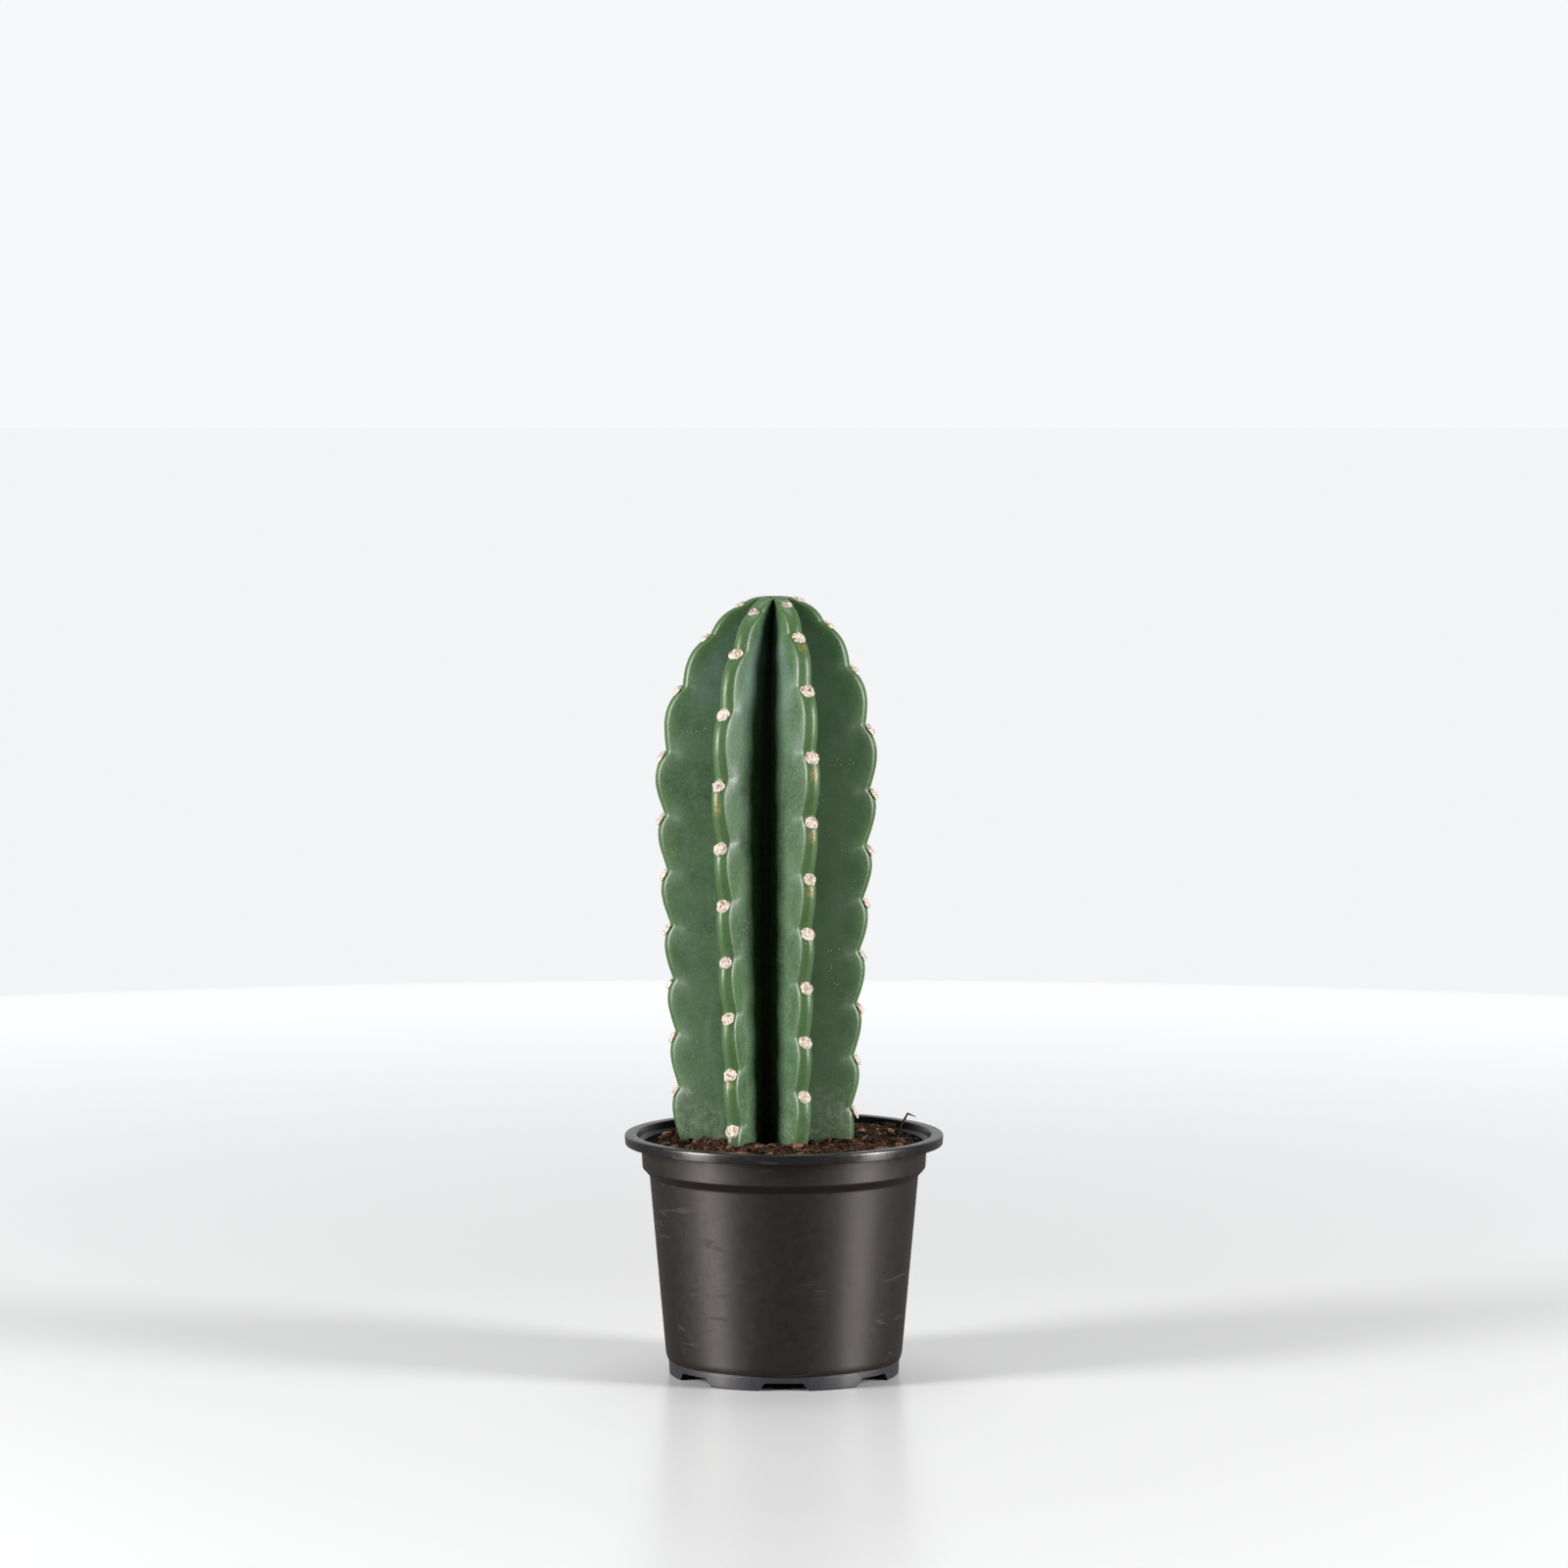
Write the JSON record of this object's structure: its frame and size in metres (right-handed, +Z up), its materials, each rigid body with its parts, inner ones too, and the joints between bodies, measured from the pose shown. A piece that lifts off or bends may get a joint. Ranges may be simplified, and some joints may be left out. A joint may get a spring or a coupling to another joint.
{
  "type": "potted tall cactus",
  "caption": "Tall ribbed columnar cactus with woolly areoles, rooted in dark coir soil in a tapered black plastic nursery pot with a rolled lip and notched foot ring.",
  "frame": {"origin": "the centre of the pot's foot, on the surface that the pot stands on", "axes": "+Z up along the pot's axis, -Y towards the front, +X to the right seen from the front"},
  "size_m": [0.1606, 0.1606, 0.3911],
  "materials": {
    "pot_plastic": "satin black injection-moulded plastic",
    "soil": "dark coir and peat potting mix",
    "cactus_skin": "waxy green skin",
    "wool": "short cream areole wool",
    "dry_bark": "dry dark bark",
    "coir": "torn reddish-brown coir"
  },
  "bodies": {
    "root": {"nursery_pot": "pot_plastic", "potting_soil": "soil", "cactus_stem": "cactus_skin", "dry_twig": "dry_bark", "coir_chip_01": "coir", "coir_chip_02": "coir", "coir_chip_03": "coir", "coir_chip_04": "coir", "coir_chip_05": "coir", "coir_chip_06": "coir", "coir_chip_07": "coir", "coir_chip_08": "coir", "coir_chip_09": "coir", "coir_chip_10": "coir", "coir_chip_11": "coir", "coir_chip_12": "coir", "coir_chip_13": "coir", "coir_chip_14": "coir", "coir_chip_15": "coir", "coir_chip_16": "coir", "coir_chip_17": "coir", "coir_chip_18": "coir"}
  },
  "joints": []
}
